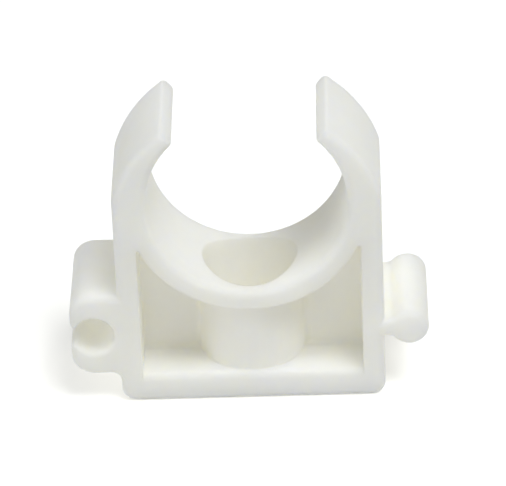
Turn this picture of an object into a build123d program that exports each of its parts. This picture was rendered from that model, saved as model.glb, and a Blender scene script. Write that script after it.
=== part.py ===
from build123d import *
from math import asin, cos, hypot, radians, sin, sqrt, tan
import os

# Snap-in pipe clip, moulded in one piece. Millimetres, +Z up.
# The origin is where the screw's axis meets the underside of the base. X runs along a row of linked clips and
# Y along the pipe. The section in the XZ plane is drawn once and carried through the depth.

# Pipe seat and jaws
pipe_diameter = 25.0
axis_height = 28.4        # underside of the base to the pipe's axis
clip_depth = 14.8         # along the pipe
jaw_root_wall = 4.2       # jaw thickness level with the pipe's axis
jaw_tip_wall = 2.05       # jaw thickness at its free end
mouth_gap = 17.5          # between the jaws' free ends
shoulder_rise = 1.2       # the outer arc leaves the upright wall this far above the axis
saddle_wall = 2.4         # below the pipe

# Body
side_wall = 2.75
base_thickness = 4.0
web_thickness = 1.8       # upright wall half way through the depth

# Screw boss
boss_setback = 0.75       # behind the front and rear faces
boss_wall = 0.85          # round the recess, at the lowest line of the saddle
recess_draft = 8.0        # degrees
seat_height = 5.0         # screw head's seat above the underside
screw_hole_diameter = 5.2

# Link between neighbouring clips: a bead on a neck slides into the next clip's socket
link_height = 9.9
bead_diameter = 4.9
bead_reach = 3.15         # side wall to the bead's centre
neck_thickness = 2.5
link_clearance = 0.1      # all round the bead and the neck
lug_wall = 3.15           # above and below the socket
lug_gap = 0.2             # between the lug and the next clip's side wall

# Rounded corners of the section
base_corner_radius = 1.8
shoulder_radius = 2.0
lug_corner_radius = 2.8
lug_root_radius = 1.3
lip_radius = 0.3          # where the socket opens into its slot
lip_flare = 0.35          # slot's lead-in at the lug's face
neck_radius = 0.9         # from the neck into the bead
pocket_crown_radius = 0.2
boss_root_radius = 0.8    # between boss and web, seen from above

# Rounded edges of the moulding
edge_round = 0.9          # round the front and rear faces, and the base's lip in front of each pocket
socket_round = 0.5        # both ends of the socket
round_bands = 4           # bands that make up the round at the ends of the bore and the socket
tip_round = 0.4           # round the jaws' free ends
foot_radius = 0.7         # between web and base

# Sizes that follow
bore_radius = pipe_diameter / 2
half_width = bore_radius + jaw_root_wall
half_depth = clip_depth / 2
saddle_radius = bore_radius + saddle_wall
saddle_height = axis_height - bore_radius
shoulder_height = axis_height + shoulder_rise
pocket_half_width = half_width - side_wall
half_web = web_thickness / 2
boss_radius = half_depth - boss_setback
recess_radius = boss_radius - boss_wall
bead_radius = bead_diameter / 2
bead_x = half_width + bead_reach
half_neck = neck_thickness / 2
socket_radius = bead_radius + link_clearance
half_slot = half_neck + link_clearance
lug_half_height = socket_radius + lug_wall
lug_face_x = -(half_width + 2 * bead_reach - lug_gap)
mouth_angle = asin(mouth_gap / pipe_diameter)


def round_corners(face, points, radius):
    """The face with the corners nearest to the given points rounded."""
    corners = [face.vertices().sort_by_distance((*point, 0))[0] for point in points]
    return fillet(corners, radius)


def block(left, right, low, high):
    """A rectangle of the section, by its edges."""
    return Pos((left + right) / 2, (low + high) / 2) * Rectangle(right - left, high - low)


def jaw_arc():
    """Height of the centre, and radius, of the arc through both shoulders and both tips' outer corners."""
    tip_x = (bore_radius + jaw_tip_wall) * sin(mouth_angle)
    tip_z = axis_height + (bore_radius + jaw_tip_wall) * cos(mouth_angle)
    squares = half_width**2 - tip_x**2 + shoulder_height**2 - tip_z**2
    centre = squares / (2 * (shoulder_height - tip_z))
    return centre, hypot(half_width, shoulder_height - centre)


def jaw_section():
    """Base, side walls and jaws as one filled shape, with the mouth cut out as far as the pipe's axis."""
    arc_centre, arc_radius = jaw_arc()
    top = arc_centre + arc_radius
    trunk = block(-half_width, half_width, 0, shoulder_height)
    crown = Pos(0, arc_centre) * Circle(arc_radius) & block(-half_width, half_width, shoulder_height, top)
    reach = 2 * arc_radius
    mouth = Polygon(
        (0, axis_height),
        (reach * sin(mouth_angle), axis_height + reach * cos(mouth_angle)),
        (-reach * sin(mouth_angle), axis_height + reach * cos(mouth_angle)),
        align=None,
    )
    section = trunk + crown - mouth
    for side in (-1, 1):
        section = round_corners(section, [(side * half_width, 0)], base_corner_radius)
        section = round_corners(section, [(side * half_width, shoulder_height)], shoulder_radius)
    return section


def lug_section(section):
    """Adds the lug, still without its socket."""
    low = link_height - lug_half_height
    high = link_height + lug_half_height
    lug = block(lug_face_x, -half_width + side_wall / 2, low, high)
    lug = round_corners(lug, [(lug_face_x, low), (lug_face_x, high)], lug_corner_radius)
    return round_corners(section + lug, [(-half_width, low)], lug_root_radius)


def bead_section(section):
    """Adds the bead and the neck that carries it."""
    neck = block(half_width - side_wall / 2, bead_x, link_height - half_neck, link_height + half_neck)
    section = section + neck + Pos(bead_x, link_height) * Circle(bead_radius)
    meet_x = bead_x - sqrt(bead_radius**2 - half_neck**2)
    roots = [(meet_x, link_height - half_neck), (meet_x, link_height + half_neck)]
    return round_corners(section, roots, neck_radius)


def socket_section():
    """The space that the next clip's bead and neck slide into."""
    inner_x = -bead_x - sqrt(socket_radius**2 - half_slot**2)
    near, far = lug_face_x + lip_flare, lug_face_x - lip_flare
    wide = half_slot + 2 * lip_flare
    slot = Polygon(
        (-bead_x, -half_slot),
        (-bead_x, half_slot),
        (near, half_slot),
        (far, wide),
        (far, -wide),
        (near, -half_slot),
        align=None,
    )
    space = Circle(socket_radius) + Pos(bead_x, 0) * slot
    lips = [(inner_x + bead_x, -half_slot), (inner_x + bead_x, half_slot)]
    return Pos(-bead_x, link_height) * round_corners(space, lips, lip_radius)


def pocket_section():
    """The space under the saddle, between the side walls and above the base."""
    pocket = block(-pocket_half_width, pocket_half_width, base_thickness, axis_height)
    pocket = pocket - Pos(0, axis_height) * Circle(saddle_radius)
    crown_z = axis_height - sqrt(saddle_radius**2 - pocket_half_width**2)
    for side in (-1, 1):
        pocket = round_corners(pocket, [(side * pocket_half_width, crown_z)], pocket_crown_radius)
    return pocket


def carried(section):
    """A section of the XZ plane, carried through the clip's depth."""
    return extrude(Plane.XZ * section, amount=half_depth, both=True)


def outline_edges(solid):
    """The edges round the front and rear faces, without those of the jaws' free ends."""
    faces = solid.faces().sort_by(Axis.Y)
    edges = [edge for face in (faces[0], faces[-1]) for edge in face.outer_wire().edges()]
    return [edge for edge in edges if edge.geom_type != GeomType.LINE or edge.center().Z < shoulder_height]


def tip_edges(solid):
    """The edges round the jaws' free ends."""
    flats = [face for face in solid.faces().filter_by(GeomType.PLANE) if face.center().Z > shoulder_height]
    return [edge for face in flats if abs(face.normal_at().Y) < 0.5 for edge in face.edges()]


def floor_edges(solid, y):
    """The straight edges of the pockets' floor at a distance from the middle of the depth."""
    edges = [edge for edge in solid.edges().filter_by(Axis.X) if abs(edge.center().Z - base_thickness) < 0.01]
    return [edge for edge in edges if abs(abs(edge.center().Y) - y) < 0.01]


def web():
    """The upright wall under the saddle, sunk half way into the walls that it joins."""
    end = pocket_half_width + side_wall / 2
    low = base_thickness / 2
    wall = extrude(Pos(0, 0, low) * Rectangle(2 * end, web_thickness), amount=axis_height - low)
    return wall - under_saddle()


def boss():
    """The screw boss, with the corners between it and the web filled out."""
    meet_x = sqrt(boss_radius**2 - half_web**2)
    reach = boss_radius + boss_root_radius
    plan = Circle(boss_radius) + Rectangle(2 * reach, web_thickness)
    roots = [(x, y) for x in (-meet_x, meet_x) for y in (-half_web, half_web)]
    plan = round_corners(plan, roots, boss_root_radius)
    low = base_thickness / 2
    return extrude(Pos(0, 0, low) * plan, amount=axis_height - low) - under_saddle()


def under_saddle():
    """Trims what stands under the saddle half way through the saddle's wall."""
    return carried(Pos(0, axis_height) * Circle(bore_radius + saddle_wall / 2))


def way_through(radius, widening):
    """A round way through the whole depth. Its ends widen in a round, drawn as narrow bands of equal turn."""
    outer = radius + widening
    start = half_depth - widening
    turns = [radians(90 * step / round_bands) for step in range(round_bands + 1)]
    round_end = [(outer - widening * cos(turn), start + widening * sin(turn)) for turn in turns]
    far_end = [(x, -y) for x, y in reversed(round_end)]
    past_end = [(outer, clip_depth), (0, clip_depth), (0, -clip_depth), (outer, -clip_depth)]
    return revolve(Polygon(*past_end, *far_end, *round_end, align=None), Axis.Y)


def bore():
    """The pipe's seat."""
    return Pos(0, 0, axis_height) * way_through(bore_radius, edge_round)


def socket():
    """The socket's space through the whole depth."""
    return carried(socket_section()) + Pos(-bead_x, 0, link_height) * way_through(socket_radius, socket_round)


def screw_way():
    """The screw's hole through the seat, and the tapered recess for its head and the driver."""
    widen = tan(radians(recess_draft))
    seat_radius = recess_radius - (saddle_height - seat_height) * widen
    top_radius = recess_radius + (axis_height - saddle_height) * widen
    recess_height = axis_height - seat_height
    recess = Cone(seat_radius, top_radius, recess_height, align=(Align.CENTER, Align.CENTER, Align.MIN))
    hole_length = 2 * seat_height
    hole = Cylinder(screw_hole_diameter / 2, hole_length)
    return Pos(0, 0, seat_height) * recess + hole


def pipe_clip():
    """The whole moulding."""
    body = carried(bead_section(lug_section(jaw_section())))
    body = fillet(outline_edges(body), edge_round) - bore()
    body = fillet(tip_edges(body), tip_round)
    body = body - carried(pocket_section())
    body = fillet(floor_edges(body, half_depth), edge_round)
    body = fillet(floor_edges(body + web(), half_web), foot_radius)
    return body + boss() - socket() - screw_way()


clip = pipe_clip()
clip.label = "pipe_clip"
os.makedirs("parts", exist_ok=True)
export_step(clip, "parts/pipe_clip.step")
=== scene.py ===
import math

import bpy
from mathutils import Matrix, Vector

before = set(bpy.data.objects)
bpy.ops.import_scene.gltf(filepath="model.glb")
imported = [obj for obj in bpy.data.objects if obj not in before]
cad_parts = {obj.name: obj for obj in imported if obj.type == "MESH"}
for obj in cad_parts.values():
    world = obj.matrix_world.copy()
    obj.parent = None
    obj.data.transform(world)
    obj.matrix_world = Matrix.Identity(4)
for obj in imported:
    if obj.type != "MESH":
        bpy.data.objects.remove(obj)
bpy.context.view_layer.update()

scene = bpy.context.scene
scene.view_settings.view_transform = "Standard"
print("frame: nodes", sorted(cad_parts))


# unit vector: turned from the front (-Y) towards the right (+X), then raised, both in degrees
def wayTo(turn, rise):
    turn, rise = math.radians(turn), math.radians(rise)
    level = math.cos(rise)
    return Vector((math.sin(turn) * level, -math.cos(turn) * level, math.sin(rise)))


# a node with the values of its open sockets by name, and its other settings by keyword
def addNode(tree, kind, sockets=None, **settings):
    node = tree.nodes.new(kind)
    for name, value in settings.items():
        setattr(node, name, value)
    for name, value in (sockets or {}).items():
        node.inputs[name].default_value = value
    return node


# carries a value from one range to another and stops at its ends
def mapRange(tree, value, start, goal):
    ends = {"From Min": start[0], "From Max": start[1], "To Min": goal[0], "To Max": goal[1]}
    node = addNode(tree, "ShaderNodeMapRange", ends)
    tree.links.new(value, node.inputs["Value"])
    return node.outputs["Result"]


def joinValues(tree, operation, first, second):
    node = addNode(tree, "ShaderNodeMath", operation=operation)
    tree.links.new(first, node.inputs[0])
    tree.links.new(second, node.inputs[1])
    return node.outputs[0]


# camera: angles in degrees, lengths in metres, pixels of the photograph's frame
cameraView = {
    "azimuth": 1.668,
    "elevation": 30.605,
    "roll": 2.425,
    "distance": 0.521515,
    "aimHeight": 0.028413,  # point above the origin that lands on aimPixel
    "aimPixel": (246.618, 176.382),
    "picture": (506, 486),
    "focalPixels": 4179.4,
    "sensor": 36.0,  # mm
    "clipStart": 0.01,
}


def placeCamera(view):
    azimuth, roll = math.radians(view["azimuth"]), math.radians(view["roll"])
    width, height = view["picture"]
    focal = view["focalPixels"]
    back = wayTo(view["azimuth"], view["elevation"])
    level = Vector((math.cos(azimuth), math.sin(azimuth), 0))
    upright = back.cross(level)
    right = level * math.cos(roll) - upright * math.sin(roll)
    up = level * math.sin(roll) + upright * math.cos(roll)
    eye = Vector((0, 0, view["aimHeight"])) + back * view["distance"]
    # turn the camera a little so that aimPixel holds without any lens shift
    dx = (width / 2 - view["aimPixel"][0]) / focal
    dy = (view["aimPixel"][1] - height / 2) / focal
    back = (back - right * dx - up * dy).normalized()
    right = (right - back * right.dot(back)).normalized()
    up = back.cross(right)
    data = bpy.data.cameras.new("camera")
    data.sensor_width = view["sensor"]
    data.lens = focal * view["sensor"] / width
    data.clip_start = view["clipStart"]
    camera = bpy.data.objects.new("camera", data)
    scene.collection.objects.link(camera)
    axes = Matrix((right, up, back)).transposed().to_4x4()
    camera.matrix_world = Matrix.Translation(eye) @ axes
    scene.camera = camera


placeCamera(cameraView)
print("camera placed")


# moulded plastic: off-white, satin, faintly clouded, and light seeps through its thin walls
# each noise: scale per metre and detail; heights, radius and depth in metres
plasticFinish = {
    "pale": (0.988, 0.979, 0.919, 1),
    "warm": (0.967, 0.949, 0.875, 1),
    "cloudNoise": (170.0, 5.0),  # patches about 6 mm across
    "cloudRange": (0.35, 0.65),  # all warm below, all pale above
    "satinNoise": (420.0, 2.0),
    "satinRange": (0.3, 0.7),
    "satin": (0.44, 0.6),  # least and most roughness
    "swellNoise": (160.0, 1.0),  # slow swell left by shrinkage
    "swellHeight": 0.000045,
    "grainNoise": (2600.0, 2.0),  # fine grain of the mould's face, about 0.4 mm
    "grainHeight": 0.000007,
    "noiseRoughness": 0.55,
    "softEdge": 0.00045,  # the mould's own small round on edges that look sharp
    "softEdgeSamples": 6,
    "specular": 0.32,
    "scatter": 1.0,
    "scatterReach": (1.0, 0.95, 0.75),  # blue goes least far
    "scatterDepth": 0.005,
}


def noiseOn(tree, place, finish, name):
    scale, detail = finish[name]
    sockets = {"Scale": scale, "Detail": detail, "Roughness": finish["noiseRoughness"]}
    noise = addNode(tree, "ShaderNodeTexNoise", sockets)
    tree.links.new(place, noise.inputs["Vector"])
    return noise.outputs["Fac"]


def bumpOn(tree, height, distance, under):
    bump = addNode(tree, "ShaderNodeBump", {"Strength": 1.0, "Distance": distance})
    tree.links.new(height, bump.inputs["Height"])
    tree.links.new(under, bump.inputs["Normal"])
    return bump.outputs["Normal"]


def mouldedPlastic(finish):
    material = bpy.data.materials.new("mouldedPlastic")
    material.use_nodes = True
    tree = material.node_tree
    shader = tree.nodes["Principled BSDF"]
    place = addNode(tree, "ShaderNodeTexCoord").outputs["Object"]
    # colour drifts between the two tones in soft clouds
    tones = addNode(tree, "ShaderNodeValToRGB")
    low, high = tones.color_ramp.elements
    low.position, high.position = finish["cloudRange"]
    low.color, high.color = finish["warm"], finish["pale"]
    tree.links.new(noiseOn(tree, place, finish, "cloudNoise"), tones.inputs["Fac"])
    tree.links.new(tones.outputs["Color"], shader.inputs["Base Color"])
    # satin: roughness drifts a little too
    drift = noiseOn(tree, place, finish, "satinNoise")
    satin = mapRange(tree, drift, finish["satinRange"], finish["satin"])
    tree.links.new(satin, shader.inputs["Roughness"])
    # soft edges first, then the slow swell, with the fine grain on top of it
    radius, samples = finish["softEdge"], finish["softEdgeSamples"]
    edge = addNode(tree, "ShaderNodeBevel", {"Radius": radius}, samples=samples)
    swell = noiseOn(tree, place, finish, "swellNoise")
    swelled = bumpOn(tree, swell, finish["swellHeight"], edge.outputs["Normal"])
    grain = noiseOn(tree, place, finish, "grainNoise")
    grained = bumpOn(tree, grain, finish["grainHeight"], swelled)
    tree.links.new(grained, shader.inputs["Normal"])
    shader.inputs["Specular IOR Level"].default_value = finish["specular"]
    shader.inputs["Subsurface Weight"].default_value = finish["scatter"]
    shader.inputs["Subsurface Radius"].default_value = finish["scatterReach"]
    shader.inputs["Subsurface Scale"].default_value = finish["scatterDepth"]
    return material


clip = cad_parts["pipe_clip"]
clip.data.materials.clear()
clip.data.materials.append(mouldedPlastic(plasticFinish))
print("plastic on", clip.name, "with", len(clip.data.polygons), "faces")


# pale floor: it shows white to the camera and in reflections, and keeps the clip's shadow
floorSizes = {
    "half": 1.5,
    "colour": (0.88, 0.88, 0.88, 1),
    "lift": 0.41,  # glow that only the camera and reflections see
    "dimRadius": (0.003, 0.006),  # no lift under the base, so that the screw's hole stays dim
}


# 1 for what the camera sees, directly, in a reflection or through glass, and 0 for other light
def seenRays(tree):
    path = addNode(tree, "ShaderNodeLightPath").outputs
    plain = joinValues(tree, "MAXIMUM", path["Is Camera Ray"], path["Is Glossy Ray"])
    return joinValues(tree, "MAXIMUM", plain, path["Is Transmission Ray"])


def floorWhite(sizes):
    material = bpy.data.materials.new("floorWhite")
    material.use_nodes = True
    tree = material.node_tree
    tree.nodes.clear()
    out = addNode(tree, "ShaderNodeOutputMaterial")
    matt = addNode(tree, "ShaderNodeBsdfDiffuse", {"Color": sizes["colour"]})
    glow = addNode(tree, "ShaderNodeEmission")
    place = addNode(tree, "ShaderNodeTexCoord")
    reach = addNode(tree, "ShaderNodeVectorMath", operation="LENGTH")
    tree.links.new(place.outputs["Object"], reach.inputs[0])
    fade = mapRange(tree, reach.outputs["Value"], sizes["dimRadius"], (0, sizes["lift"]))
    lift = joinValues(tree, "MULTIPLY", seenRays(tree), fade)
    tree.links.new(lift, glow.inputs["Strength"])
    total = addNode(tree, "ShaderNodeAddShader")
    tree.links.new(matt.outputs[0], total.inputs[0])
    tree.links.new(glow.outputs[0], total.inputs[1])
    tree.links.new(total.outputs[0], out.inputs["Surface"])
    return material


def layFloor(sizes):
    half = sizes["half"]
    corners = [(-half, -half, 0), (half, -half, 0), (half, half, 0), (-half, half, 0)]
    mesh = bpy.data.meshes.new("floor")
    mesh.from_pydata(corners, [], [(0, 1, 2, 3)])
    mesh.materials.append(floorWhite(sizes))
    floor = bpy.data.objects.new("floor", mesh)
    scene.collection.objects.link(floor)


layFloor(floorSizes)
print("floor laid")


# soft light: a lamp high in front on the right, weaker ones low on the left and behind,
# and a little light from all sides
lightPlan = {
    "around": (0.218, 0.218, 0.207, 1),
    "seen": (1, 1, 1, 1),  # what the camera and reflections see in its place
    "bounces": 16,
    "diffuseBounces": 12,  # light goes round and round in the pale pockets
    "target": (0, 0, 0.018),
    "distance": 0.8,
    "size": 0.35,
    # each lamp: turn and rise in degrees as in wayTo, watts, colour
    "lamps": {
        "keyLamp": (42, 64, 3.76, (0.995, 1.01, 0.99)),
        "leftLamp": (-72, 20, 1.2, (0.99, 1.01, 1.01)),
        "rearLamp": (180, 22, 1.0, (1.0, 1.0, 0.95)),
    },
}


def lightWorld(plan):
    scene.cycles.max_bounces = plan["bounces"]
    scene.cycles.diffuse_bounces = plan["diffuseBounces"]
    world = bpy.data.worlds.new("around")
    scene.world = world
    world.use_nodes = True
    tree = world.node_tree
    tree.nodes.clear()
    out = addNode(tree, "ShaderNodeOutputWorld")
    dim = addNode(tree, "ShaderNodeBackground", {"Color": plan["around"]})
    white = addNode(tree, "ShaderNodeBackground", {"Color": plan["seen"]})
    mix = addNode(tree, "ShaderNodeMixShader")
    tree.links.new(seenRays(tree), mix.inputs[0])
    tree.links.new(dim.outputs[0], mix.inputs[1])
    tree.links.new(white.outputs[0], mix.inputs[2])
    tree.links.new(mix.outputs[0], out.inputs["Surface"])


def hangLamps(plan):
    target = Vector(plan["target"])
    for name, (turn, rise, power, colour) in plan["lamps"].items():
        way = wayTo(turn, rise)
        data = bpy.data.lights.new(name, "AREA")
        data.size = plan["size"]
        data.energy = power
        data.color = colour
        lamp = bpy.data.objects.new(name, data)
        scene.collection.objects.link(lamp)
        lamp.location = target + way * plan["distance"]
        lamp.rotation_euler = way.to_track_quat("Z", "Y").to_euler()


lightWorld(lightPlan)
hangLamps(lightPlan)
print("light set:", ", ".join(lightPlan["lamps"]))
